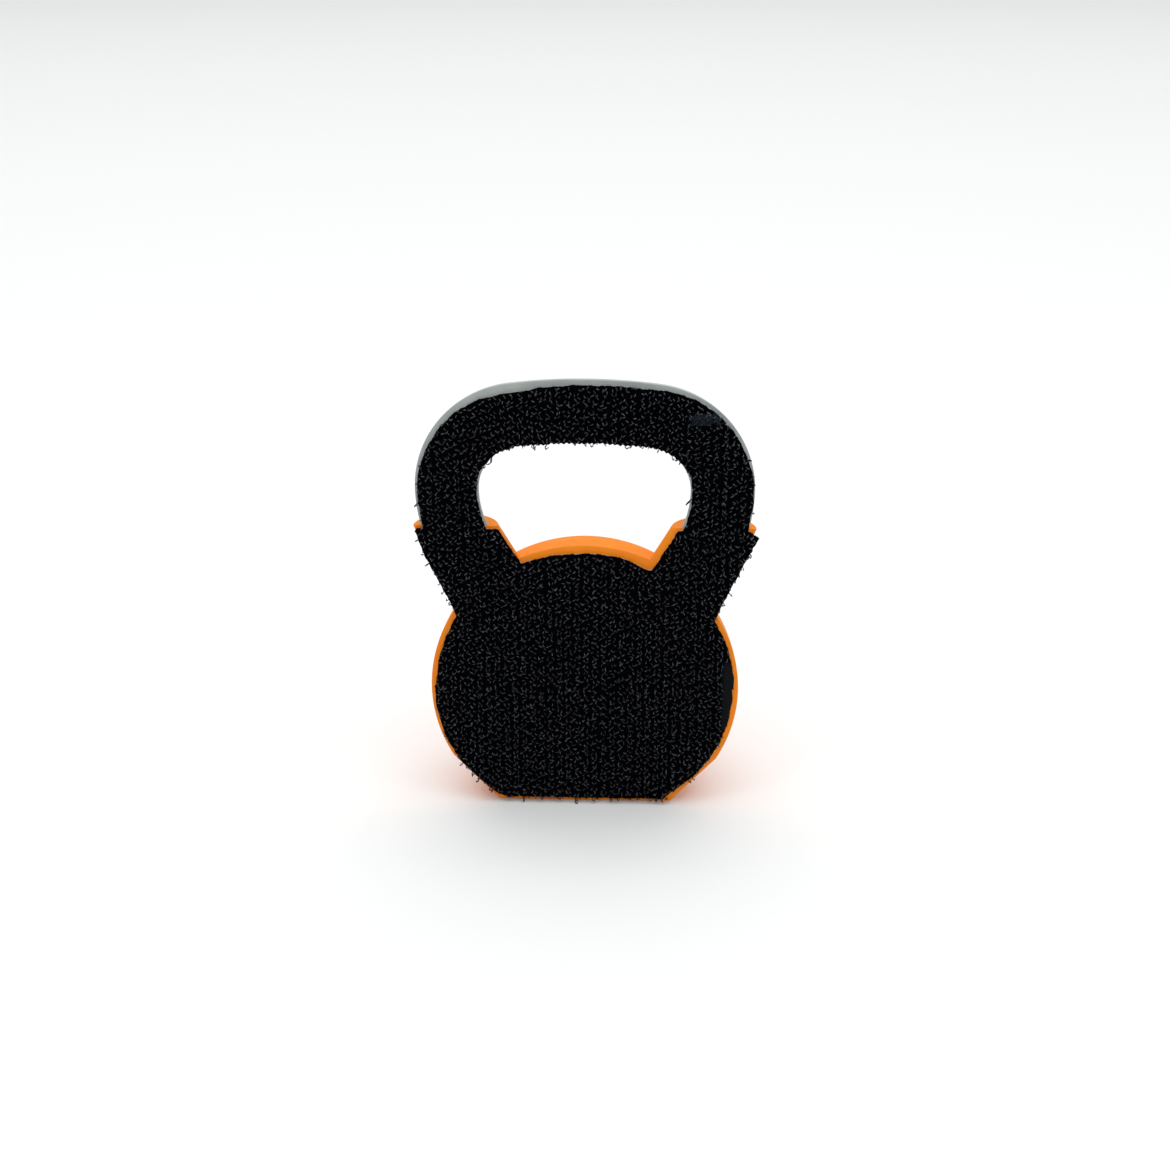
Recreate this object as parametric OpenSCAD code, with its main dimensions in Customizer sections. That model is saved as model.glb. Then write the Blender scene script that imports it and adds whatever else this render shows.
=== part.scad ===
// Kettlebell badge: half a small printed kettlebell, flat at the back, with
// woven hook tape stuck to its flat back. It stands on its own flat base.
// X runs across the badge, +Y is the domed front, -Y the hook side, +Z is up.

/* [Ball] */
// Diameter of the ball
ball_d = 55; // [52:0.5:58]
// Height of the ball's centre above the flat base
ball_centre_z = 22.5; // [21:0.5:24]
// How far in from each corner of the flat base its bevel starts
bevel_inset = 0.2; // [0.1:0.1:1]
// Slope of the bevels on both sides of the base in degrees
bevel_slope = 47; // [44:1:50]

/* [Handle] */
// Diameter of the handle bar
handle_d = 11; // [10.5:0.5:12]
// Radius of the bar's centre line round each top corner
corner_r = 13.3; // [13:0.1:13.6]
// Distance from the middle of the badge to the centre of a corner
corner_x = 10.4; // [9.92:0.16:10.88]
// Height of the corners' centres above the flat base
corner_z = 60.3; // [59.8:0.1:60.8]
// Radius of a leg's centre line, below its corner
leg_r = 23.1; // [22.5:0.1:24.5]

/* [Horns] */
// Height of the flat collars above the flat base
collar_z = 53.5; // [52.5:0.5:54.5]
// Distance from the middle of the badge to a horn's axis, at its collar
collar_x = 22.6; // [22.2:0.1:23]
// Outward lean of the horns in degrees
horn_lean = 26.5; // [25:0.5:28]
// Diameter of a horn at its collar
horn_top_d = 13.2; // [12.8:0.1:14]
// Diameter of a horn at its foot, inside the ball
horn_foot_d = 15.8; // [15:0.1:16.6]
// Length of a horn's axis, from collar to foot
horn_len = 19; // [18:0.5:20]

/* [Peg joints] */
// Diameter of the handle's pegs
peg_d = 4.8; // [4:0.1:4.8]
// Length of the handle's pegs
peg_len = 8; // [5:0.5:10]
// Gap all round a peg in its socket
peg_gap = 0.1; // [0.05:0.05:0.2]
// Extra depth of a socket past the end of its peg
socket_spare = 0.5; // [0.3:0.1:1]

/* [Hook tape] */
// Bare rim left between the tape and the outline of the print
tape_inset = 0.6; // [0.3:0.1:1]
// Thickness of the adhesive film
film_t = 0.2; // [0.1:0.05:0.3]
// Thickness of the woven ground
ground_t = 0.5; // [0.4:0.05:0.8]
// Height of the hooks above the woven ground
hook_h = 1.3; // [1:0.1:1.6]
// Gap between two butted pieces of tape
seam_gap = 0.2; // [0.1:0.1:0.4]

/* [Tape pieces] */
// Height of the level seam across the ball
ball_seam_z = 23.1; // [20:0.1:26]
// Left edge of the patch on the right leg
patch_left_x = 17.5; // [16:0.1:19]
// Height of the patch's top edge
patch_top_z = 72.3; // [70:0.1:73]
// Upright seam between the patch and the strip on the leg's outer side
strip_left_x = 24.2; // [23:0.1:25.5]
// Left edge of the plain selvage at the ball's right side
selvage_x = 24.9; // [24:0.1:26]
// Height of the selvage's lower end
selvage_low_z = 15; // [13:0.5:18]
// Height of the selvage's upper end
selvage_high_z = 28.5; // [26:0.5:31]

/* [Hidden] */

$fn = 96;
ball_r = ball_d / 2;
handle_r = handle_d / 2;
// Longer than any part of the badge, for cutting away everything on one side.
far = 200;

// The ball narrows to its flat base by a bevel on each side.
base_x = sqrt(ball_r * ball_r - ball_centre_z * ball_centre_z);
bevel_x = base_x - bevel_inset;

// The handle's top is a shallow arch that runs smoothly into the two corners.
// From the arch's centre to a corner's is 32 parts across, 255 up and 257 along.
part = corner_x / 32;
arch_z = corner_z - 255 * part;
arch_r = corner_r + 257 * part;

// A leg is level with its corner's centre where the one runs into the other.
leg_x = corner_x + corner_r - leg_r;

// A peg is a full round inside the half-round leg.
peg_y = handle_r / 2 + 0.2;
// How far a peg's root reaches up into the leg.
peg_root = 3;

// The layers of the tape, from the flat back outwards.
ground_y = -film_t;
hooks_y = ground_y - ground_t;
tips_y = hooks_y - hook_h;

// The origin is on the base, at the middle of the whole depth.
middle_y = (ball_r + tips_y) / 2;

module placed() {
    translate([0, -middle_y, 0]) children();
}

// Everything at or in front of the flat back.
module front_space() {
    translate([-far / 2, 0, -far / 2]) cube([far, far, far]);
}

// Everything between two heights.
module level_space(low, high) {
    translate([-far / 2, -far / 2, low]) cube([far, far, high - low]);
}

// What a bevel leaves, moved in by inset, drawn with X across and Y up.
// side is 1 on the right and -1 on the left, here and below.
module inside_bevel(side, inset) {
    mirror([side < 0 ? 1 : 0, 0])
        translate([bevel_x, 0])
            rotate(bevel_slope)
                translate([-far, inset])
                    square([2 * far, far]);
}

module bevel_space(side) {
    rotate([90, 0, 0])
        linear_extrude(height = 2 * far, center = true)
            inside_bevel(side, 0);
}

// Puts a shape made along Z, with the collar at 0, on the axis of a horn.
module on_horn_axis(side) {
    translate([side * collar_x, 0, collar_z])
        rotate([0, side * horn_lean, 0])
            children();
}

// Body: the half ball with its flat base, and the horns with their collars.

module ball() {
    translate([0, 0, ball_centre_z]) sphere(r = ball_r);
}

module horn(side) {
    rise = horn_top_d / 2;
    widen = (horn_foot_d - horn_top_d) / horn_len;
    on_horn_axis(side)
        translate([0, 0, -horn_len])
            cylinder(h = horn_len + rise, d1 = horn_foot_d, d2 = horn_top_d - widen * rise);
}

module socket(side) {
    depth = peg_len + socket_spare;
    on_horn_axis(side)
        translate([0, peg_y, -depth])
            cylinder(h = depth + horn_top_d, d = peg_d + 2 * peg_gap);
}

module body() {
    color("darkorange") placed() difference() {
        intersection() {
            union() {
                ball();
                horn(1);
                horn(-1);
            }
            front_space();
            level_space(0, collar_z);
            bevel_space(1);
            bevel_space(-1);
        }
        socket(1);
        socket(-1);
    }
}

// Handle: an arched bar, two corners, two legs and two pegs.

// A ring's section, flat along X and round towards +Y.
module half_disc() {
    intersection() {
        circle(r = handle_r);
        translate([-handle_d, 0]) square([2 * handle_d, handle_d]);
    }
}

// Where each arc of the handle lies, drawn with X across and Y up.
module arch_sector() {
    top_z = 2 * corner_z - arch_z;
    polygon([[0, arch_z], [2 * corner_x, top_z], [-2 * corner_x, top_z]]);
}

module corner_sector() {
    top_z = 2 * corner_z - arch_z;
    polygon([[corner_x, corner_z], [far, corner_z], [far, top_z], [2 * corner_x, top_z]]);
}

module leg_sector(low_z) {
    translate([corner_x, low_z]) square([far, corner_z - low_z]);
}

// The part of a half-round ring that lies in a sector.
module arc(centre_x, centre_z, radius) {
    intersection() {
        translate([centre_x, 0, centre_z])
            rotate([-90, 0, 0])
                rotate_extrude()
                    translate([radius, 0]) half_disc();
        rotate([90, 0, 0])
            linear_extrude(height = 2 * far, center = true)
                children();
    }
}

module bar() {
    arc(0, arch_z, arch_r) arch_sector();
}

module corner(side) {
    mirror([side < 0 ? 1 : 0, 0, 0])
        arc(corner_x, corner_z, corner_r) corner_sector();
}

module leg(side) {
    mirror([side < 0 ? 1 : 0, 0, 0])
        arc(leg_x, corner_z, leg_r) leg_sector(collar_z);
}

module peg(side) {
    on_horn_axis(side)
        translate([0, peg_y, -peg_len])
            cylinder(h = peg_len + peg_root, d = peg_d);
}

module handle() {
    color("slategray") placed() union() {
        bar();
        corner(1);
        corner(-1);
        leg(1);
        leg(-1);
        peg(1);
        peg(-1);
    }
}

// Tape: flat outlines, drawn with X across and Y up, for all its layers.

module half_plane_above(z) {
    translate([-far / 2, z]) square([far, far]);
}

module ball_outline() {
    intersection() {
        translate([0, ball_centre_z]) circle(r = ball_r - tape_inset);
        half_plane_above(tape_inset);
        inside_bevel(1, tape_inset);
        inside_bevel(-1, tape_inset);
    }
}

module horn_outline(side) {
    foot = horn_foot_d / 2 - tape_inset;
    top = horn_top_d / 2 - tape_inset;
    intersection() {
        translate([side * collar_x, collar_z])
            rotate(-side * horn_lean)
                polygon([[-foot, -horn_len], [foot, -horn_len], [top, 0],
                         [top, horn_top_d], [-top, horn_top_d], [-top, 0]]);
        translate([-far / 2, 0]) square([far, collar_z - tape_inset]);
    }
}

// The part of a flat ring that lies in a sector.
module band(centre_x, centre_z, radius) {
    half = handle_r - tape_inset;
    intersection() {
        translate([centre_x, centre_z]) difference() {
            circle(r = radius + half);
            circle(r = radius - half);
        }
        children();
    }
}

module handle_outline() {
    band(0, arch_z, arch_r) arch_sector();
    for (side = [1, -1])
        mirror([side < 0 ? 1 : 0, 0]) {
            band(corner_x, corner_z, corner_r) corner_sector();
            band(leg_x, corner_z, leg_r) leg_sector(collar_z - 2 * tape_inset);
        }
}

module tape_outline() {
    ball_outline();
    horn_outline(1);
    horn_outline(-1);
    handle_outline();
}

// What each piece covers. grow widens it by half a seam on every side.
module right_leg_area(left_x, top_z, grow) {
    translate([left_x - grow, collar_z - grow])
        square([far, top_z - collar_z + 2 * grow]);
}

module lower_outline() {
    difference() {
        tape_outline();
        half_plane_above(ball_seam_z - seam_gap / 2);
    }
}

module main_outline() {
    difference() {
        intersection() {
            tape_outline();
            half_plane_above(ball_seam_z + seam_gap / 2);
        }
        right_leg_area(patch_left_x, patch_top_z, seam_gap / 2);
        right_leg_area(strip_left_x, far, seam_gap / 2);
    }
}

module patch_outline() {
    difference() {
        intersection() {
            tape_outline();
            right_leg_area(patch_left_x, patch_top_z, -seam_gap / 2);
        }
        right_leg_area(strip_left_x, far, seam_gap / 2);
    }
}

module strip_outline() {
    intersection() {
        tape_outline();
        right_leg_area(strip_left_x, far, -seam_gap / 2);
    }
}

// The plain selvage has no hooks.
module hooked() {
    difference() {
        children();
        translate([selvage_x, selvage_low_z])
            square([far, selvage_high_z - selvage_low_z]);
    }
}

// A flat layer of an outline, from top_y back to top_y - thickness.
module layer(top_y, thickness) {
    placed()
        translate([0, top_y, 0])
            rotate([90, 0, 0])
                linear_extrude(height = thickness)
                    children();
}

module film() {
    color("gainsboro") layer(0, film_t) children();
}

module ground() {
    color("black") layer(ground_y, ground_t) children();
}

module hooks() {
    color("dimgray") layer(hooks_y, hook_h) children();
}

module main_film() { film() main_outline(); }
module lower_film() { film() lower_outline(); }
module patch_film() { film() patch_outline(); }
module strip_film() { film() strip_outline(); }

module main_tape() { ground() main_outline(); }
module lower_tape() { ground() lower_outline(); }
module patch_tape() { ground() patch_outline(); }
module strip_tape() { ground() strip_outline(); }

module main_hooks() { hooks() hooked() main_outline(); }
module lower_hooks() { hooks() hooked() lower_outline(); }
module patch_hooks() { hooks() patch_outline(); }
module strip_hooks() { hooks() strip_outline(); }

body();
handle();
main_film();
lower_film();
patch_film();
strip_film();
main_tape();
lower_tape();
patch_tape();
strip_tape();
main_hooks();
lower_hooks();
patch_hooks();
strip_hooks();
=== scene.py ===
"""Kettlebell badge: a printed half kettlebell with woven hook tape on its flat back."""

import math

import bmesh
import bpy
import numpy as np
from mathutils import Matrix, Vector


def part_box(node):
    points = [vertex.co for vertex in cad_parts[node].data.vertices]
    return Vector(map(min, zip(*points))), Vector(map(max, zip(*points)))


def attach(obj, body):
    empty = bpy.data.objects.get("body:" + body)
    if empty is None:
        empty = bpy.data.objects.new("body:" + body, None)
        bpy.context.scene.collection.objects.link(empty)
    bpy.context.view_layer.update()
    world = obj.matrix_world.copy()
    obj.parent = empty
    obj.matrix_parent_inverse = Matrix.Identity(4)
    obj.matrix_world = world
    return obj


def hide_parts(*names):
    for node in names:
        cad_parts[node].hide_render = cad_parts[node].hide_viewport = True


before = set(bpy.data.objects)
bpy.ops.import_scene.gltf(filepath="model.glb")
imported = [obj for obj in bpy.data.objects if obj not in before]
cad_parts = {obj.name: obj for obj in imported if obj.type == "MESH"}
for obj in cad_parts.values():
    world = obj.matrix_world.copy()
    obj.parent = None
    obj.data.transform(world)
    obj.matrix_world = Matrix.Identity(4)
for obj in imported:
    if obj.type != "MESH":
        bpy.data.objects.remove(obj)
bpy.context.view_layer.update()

MM = 0.001

# ---------------------------------------------------------------- dimensions
# All in millimetres, as in part.scad. Depth is measured from the flat back,
# positive towards the dome.

BALL_R = 27.5
BALL_Z = 22.5
HANDLE_R = 5.5
CORNER_R = 13.3
CORNER_X = 10.4
CORNER_Z = 60.3
LEG_R = 23.1
LEG_X = CORNER_X + CORNER_R - LEG_R
# The arch's centre, a corner's centre and the point level with it make a right
# triangle with these sides, in parts.
ACROSS_PARTS, UP_PARTS, SLANT_PARTS = 32, 255, 257
PART = CORNER_X / ACROSS_PARTS
ARCH_Z = CORNER_Z - UP_PARTS * PART
ARCH_R = CORNER_R + SLANT_PARTS * PART
COLLAR_Z = 53.5
HORN_TOP_R = 6.6
HORN_FOOT_R = 7.9
HORN_LEN = 19.0
PEG_R, PEG_LEN = 2.4, 8.0
SOCKET_R, SOCKET_LEN = 2.5, 8.5
PEG_DEPTH = HANDLE_R / 2 + 0.2
FILM_T = 0.2
GROUND_T = 0.5
HOOK_H = 1.3
SEAM_Z = 23.1
PATCH_X = 17.5
PATCH_TOP_Z = 72.3
STRIP_X = 24.2

# The bevel beside the base: its slope, how far it cuts into the base, where it
# meets the base, the direction it faces, and how far it is from the ball's centre.
BEVEL_SLOPE = math.radians(47.0)
BEVEL_INSET = 0.2
BEVEL_X = math.sqrt(BALL_R**2 - BALL_Z**2) - BEVEL_INSET
BEVEL_NX, BEVEL_NZ = math.sin(BEVEL_SLOPE), -math.cos(BEVEL_SLOPE)
BEVEL_OFF = BEVEL_X * BEVEL_NX - BALL_Z * BEVEL_NZ

# A horn's axis: where it leaves the collar, how far it leans outwards, and how
# much the horn narrows along it.
COLLAR_X = 22.6
LEAN = math.radians(26.5)
SIN_L, COS_L, TAN_L = math.sin(LEAN), math.cos(LEAN), math.tan(LEAN)
TAPER = (HORN_FOOT_R - HORN_TOP_R) / HORN_LEN

# The plain woven edge at the right of the ball: its inner side, middle and half height.
SELVAGE_X, SELVAGE_Z, SELVAGE_HALF = 24.9, 21.7, 6.9

# The flat back's place along Y in the row frame.
FLAT_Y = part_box("body")[0].y / MM


def horn_point(s, t):
    """A point of the right horn: s along its axis from the collar, t across it, outwards."""
    return COLLAR_X + s * SIN_L + t * COS_L, COLLAR_Z + s * COS_L - t * SIN_L


def mesh_object(name, verts, faces, material):
    """A mesh from points in millimetres, whose second value is the depth from the flat back."""
    pts = np.asarray(verts, dtype=float).copy()
    pts[:, 1] += FLAT_Y
    mesh = bpy.data.meshes.new(name)
    mesh.from_pydata((pts * MM).tolist(), [], faces)
    mesh.validate()
    mesh.update()
    obj = bpy.data.objects.new(name, mesh)
    bpy.context.scene.collection.objects.link(obj)
    mesh.materials.append(material)
    mesh.polygons.foreach_set("use_smooth", [True] * len(mesh.polygons))
    return obj


def clean(obj, merge=2e-6):
    """Joins points that meet, and drops faces with no area."""
    bm = bmesh.new()
    bm.from_mesh(obj.data)
    bmesh.ops.remove_doubles(bm, verts=bm.verts, dist=merge)
    bmesh.ops.dissolve_degenerate(bm, edges=bm.edges, dist=merge / 2)
    loose = [v for v in bm.verts if not v.link_faces]
    bmesh.ops.delete(bm, geom=loose, context="VERTS")
    bmesh.ops.recalc_face_normals(bm, faces=bm.faces)
    bm.to_mesh(obj.data)
    bm.free()


# ----------------------------------------------------------------- materials


class Nodes:
    """Short ways of adding shader nodes to one material."""

    def __init__(self, name):
        self.mat = bpy.data.materials.new(name)
        self.mat.use_nodes = True
        self.tree = self.mat.node_tree
        self.tree.nodes.clear()
        self.out = self.tree.nodes.new("ShaderNodeOutputMaterial")
        self.shader = self.tree.nodes.new("ShaderNodeBsdfPrincipled")
        self.link(self.shader.outputs[0], self.out.inputs["Surface"])
        coords = self.tree.nodes.new("ShaderNodeTexCoord")
        self.place = coords.outputs["Object"]

    def link(self, a, b):
        self.tree.links.new(a, b)

    def set(self, **values):
        for key, value in values.items():
            self.shader.inputs[key.replace("_", " ")].default_value = value

    def plug(self, socket, output):
        self.link(output, self.shader.inputs[socket])

    def mapped(self, scale):
        node = self.tree.nodes.new("ShaderNodeMapping")
        node.inputs["Scale"].default_value = scale
        self.link(self.place, node.inputs["Vector"])
        return node.outputs[0]

    def noise(self, scale, detail=3.0, rough=0.5, at=None):
        node = self.tree.nodes.new("ShaderNodeTexNoise")
        node.inputs["Scale"].default_value = scale
        node.inputs["Detail"].default_value = detail
        node.inputs["Roughness"].default_value = rough
        self.link(at or self.place, node.inputs["Vector"])
        return node.outputs["Fac"]

    def wave(self, pitch, axis, distortion):
        """Bands across an axis, a pitch in millimetres apart."""
        node = self.tree.nodes.new("ShaderNodeTexWave")
        node.wave_type = "BANDS"
        node.bands_direction = axis
        node.inputs["Scale"].default_value = 1.0 / (pitch * MM) / (2 * math.pi)
        node.inputs["Distortion"].default_value = distortion
        self.link(self.place, node.inputs["Vector"])
        return node.outputs["Fac"]

    def ramp(self, value, *stops):
        node = self.tree.nodes.new("ShaderNodeValToRGB")
        ends = node.color_ramp.elements
        while len(ends) < len(stops):
            ends.new(0.5)
        for end, (position, colour) in zip(ends, stops):
            end.position = position
            end.color = (*colour, 1.0)
        self.link(value, node.inputs["Fac"])
        return node.outputs["Color"]

    def range(self, value, low, high, to_low, to_high):
        node = self.tree.nodes.new("ShaderNodeMapRange")
        for key, number in zip(
            ("From Min", "From Max", "To Min", "To Max"), (low, high, to_low, to_high)
        ):
            node.inputs[key].default_value = number
        self.link(value, node.inputs["Value"])
        return node.outputs["Result"]

    def math(self, operation, a, b):
        node = self.tree.nodes.new("ShaderNodeMath")
        node.operation = operation
        for socket, value in zip(node.inputs, (a, b)):
            if isinstance(value, (int, float)):
                socket.default_value = value
            else:
                self.link(value, socket)
        return node.outputs[0]

    def mix(self, factor, a, b):
        node = self.tree.nodes.new("ShaderNodeMix")
        node.data_type = "RGBA"
        sockets = [s for s in node.inputs if s.enabled]
        for socket, value in zip(sockets, (factor, a, b)):
            if isinstance(value, tuple):
                socket.default_value = (*value, 1.0)
            else:
                self.link(value, socket)
        return next(o for o in node.outputs if o.enabled)

    def split(self):
        """The place's X, Y and Z outputs."""
        node = self.tree.nodes.new("ShaderNodeSeparateXYZ")
        self.link(self.place, node.inputs[0])
        return node.outputs

    def bump(self, height, distance, strength=1.0, normal=None):
        node = self.tree.nodes.new("ShaderNodeBump")
        node.inputs["Distance"].default_value = distance
        node.inputs["Strength"].default_value = strength
        self.link(height, node.inputs["Height"])
        if normal is not None:
            self.link(normal, node.inputs["Normal"])
        return node.outputs["Normal"]


def print_material(name, deep, mid, pale, roughness, glow):
    """Printed plastic: thin layers stacked along Y, each a little different."""
    n = Nodes(name)
    layers = n.noise(1.0, 2.0, at=n.mapped((18.0, 5000.0, 18.0)))
    clouds = n.noise(160.0, 3.0)
    tone = n.math("ADD", n.math("MULTIPLY", layers, 0.55), n.math("MULTIPLY", clouds, 0.45))
    n.plug("Base Color", n.ramp(tone, (0.3, deep), (0.5, mid), (0.7, pale)))
    n.plug("Roughness", n.range(layers, 0.3, 0.7, roughness - 0.06, roughness + 0.08))
    grain = n.bump(n.noise(9000.0, 2.0), 0.00001, 0.35)
    strands = n.noise(1.0, 1.0, at=n.mapped((700.0, 9000.0, 700.0)))
    n.plug("Normal", n.bump(strands, 0.00002, 0.5, grain))
    n.set(
        Subsurface_Weight=glow,
        Subsurface_Scale=0.0008,
        Subsurface_Radius=(1.0, 0.45, 0.2),
        Specular_IOR_Level=0.22,
    )
    return n.mat


WARP_PITCH, WEFT_PITCH = 0.2, 0.3


def ground_material():
    """Black plain weave, paler along the woven selvage."""
    n = Nodes("woven_ground")
    warp = n.wave(WARP_PITCH, "X", 0.6)
    weft = n.wave(WEFT_PITCH, "Z", 0.6)
    weave = n.math("MULTIPLY", warp, weft)
    fuzz = n.noise(2600.0, 3.0)
    tone = n.math("ADD", n.math("MULTIPLY", weave, 0.5), n.math("MULTIPLY", fuzz, 0.5))
    plain = n.ramp(tone, (0.15, (0.0002, 0.0004, 0.0010)), (0.75, (0.0008, 0.0012, 0.0026)))
    edge = n.ramp(tone, (0.15, (0.004, 0.0045, 0.0052)), (0.75, (0.013, 0.0145, 0.016)))
    at = n.split()
    inside = n.range(at["X"], (SELVAGE_X - 0.5) * MM, SELVAGE_X * MM, 0.0, 1.0)
    level = n.math("ABSOLUTE", n.math("SUBTRACT", at["Z"], SELVAGE_Z * MM), 0.0)
    beside = n.range(level, (SELVAGE_HALF - 0.7) * MM, (SELVAGE_HALF + 0.1) * MM, 1.0, 0.0)
    weaving = n.mix(n.math("MULTIPLY", inside, beside), plain, edge)
    # Painted highlight: loose threads are paler where they rise above the weave, as if catching
    # the light.
    loose = n.range(at["Y"], (FLAT_Y - 1.0) * MM, (FLAT_Y - 0.85) * MM, 1.0, 0.0)
    n.plug("Base Color", n.mix(loose, weaving, (0.03, 0.037, 0.05)))
    n.plug("Roughness", n.range(fuzz, 0.3, 0.7, 0.6, 0.85))
    n.plug("Normal", n.bump(tone, 0.00006, 0.8))
    n.set(Specular_IOR_Level=0.02)
    return n.mat


def hook_material():
    """Black nylon monofilament, with painted shade: darker and less glossy down the legs
    towards the roots, palest and glossiest round the crooks.
    """
    n = Nodes("hook_filament")
    tone = n.noise(1700.0, 2.0)
    # Painted shade mask: 1 round the crooks, falling to 0 towards the roots, where the legs are
    # darkened as if in shade.
    high = n.range(n.split()["Y"], (FLAT_Y - 1.7) * MM, (FLAT_Y - 1.0) * MM, 1.0, 0.0)
    colour = n.ramp(
        tone,
        (0.34, (0.004, 0.0045, 0.006)),
        (0.5, (0.015, 0.0165, 0.0205)),
        (0.64, (0.085, 0.092, 0.108)),
    )
    # Painted shade on the lower legs: near-black colour and low gloss there, paler and glossier
    # round the crooks.
    n.plug("Base Color", n.mix(high, (0.0012, 0.0014, 0.0018), colour))
    n.plug("Specular IOR Level", n.range(high, 0.0, 1.0, 0.08, 0.5))
    n.plug("Roughness", n.range(tone, 0.3, 0.7, 0.2, 0.4))
    n.plug("Normal", n.bump(n.noise(12000.0, 2.0), 0.000006, 0.4))
    n.set(IOR=1.53)
    return n.mat


def film_material():
    """Milky adhesive film."""
    n = Nodes("adhesive")
    tone = n.noise(900.0, 4.0)
    n.plug("Base Color", n.ramp(tone, (0.3, (0.36, 0.35, 0.32)), (0.7, (0.6, 0.59, 0.55))))
    n.plug("Roughness", n.range(tone, 0.3, 0.7, 0.25, 0.5))
    n.plug("Normal", n.bump(n.noise(4000.0, 2.0), 0.00002, 0.4))
    n.set(Subsurface_Weight=0.3, Subsurface_Scale=0.0005, Subsurface_Radius=(1.0, 0.9, 0.7))
    return n.mat


ORANGE = print_material(
    "orange_print", (0.92, 0.225, 0.003), (0.97, 0.262, 0.004), (0.995, 0.3, 0.006), 0.42, 0.05
)
GREY = print_material(
    "grey_print", (0.32, 0.348, 0.338), (0.42, 0.455, 0.44), (0.52, 0.56, 0.545), 0.4, 0.05
)
GROUND = ground_material()
HOOK = hook_material()
FILM = film_material()

# -------------------------------------------------------------- printed skin
# Each print lay on its flat back, so its layers are stacked along Y. A layer
# is as wide as the shape is at its middle, and has a fine groove on each side.
# An outline's grow is how far it stands out past the true shape.

LAYER = 0.2
GROOVE = 0.022
ROUNDING = 0.035
HALVINGS = 40
# Points along the parts of an outline: the base, the bevel, the ball below and
# above the horn, a horn's side, and the five lengths across a collar.
BASE_STEPS, BEVEL_STEPS, LOWER_STEPS, UPPER_STEPS, HORN_STEPS = 8, 14, 30, 16, 8
ACROSS_STEPS = (3, 5, 3, 5, 3)
LEG_STEPS, CORNER_STEPS, ARCH_STEPS = 10, 34, 8


def spread(a, b, count):
    """count points from a towards b, without b."""
    k = np.arange(count)[:, None] / count
    return np.asarray(a)[None] * (1 - k) + np.asarray(b)[None] * k


def tab(depth, radius, length, tip):
    """A peg's or socket's outline below the collar, from its outer side to its inner side."""
    room = radius**2 - (depth - PEG_DEPTH) ** 2
    if room <= 0:
        return [tip] * 4
    half = math.sqrt(room)
    return [
        horn_point(half * TAN_L, half),
        horn_point(-length, half),
        horn_point(-length, -half),
        horn_point(-half * TAN_L, -half),
    ]


def collar_line(outer, inner, depth, radius, length, tip):
    """The line across a collar, with the outline of its socket or peg in the middle."""
    line = [outer, *tab(depth, radius, length, tip), inner]
    parts = zip(line, line[1:], ACROSS_STEPS)
    return np.concatenate([spread(p, q, count) for p, q, count in parts])


def horn_half(s, depth, grow):
    """Half the horn's width at s along its axis, at that depth."""
    r = HORN_TOP_R - TAPER * s
    room = r * r - depth * depth
    return math.sqrt(room) + grow if room > 0 else 0.0


def halve(outside, low, high):
    """Narrows low and high down to where outside turns from false to true."""
    for _ in range(HALVINGS):
        middle = (low + high) / 2
        if outside(middle):
            high = middle
        else:
            low = middle
    return low, high


def horn_edge(depth, grow, ball_r, side, top):
    """Where along the axis a horn's edge leaves the ball, or None if it never does."""

    def outside(s):
        x, z = horn_point(s, side * horn_half(s, depth, grow))
        return math.hypot(x, z - BALL_Z) > ball_r

    if top <= -HORN_LEN or not outside(top):
        return None
    return sum(halve(outside, -HORN_LEN, top)) / 2


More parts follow.
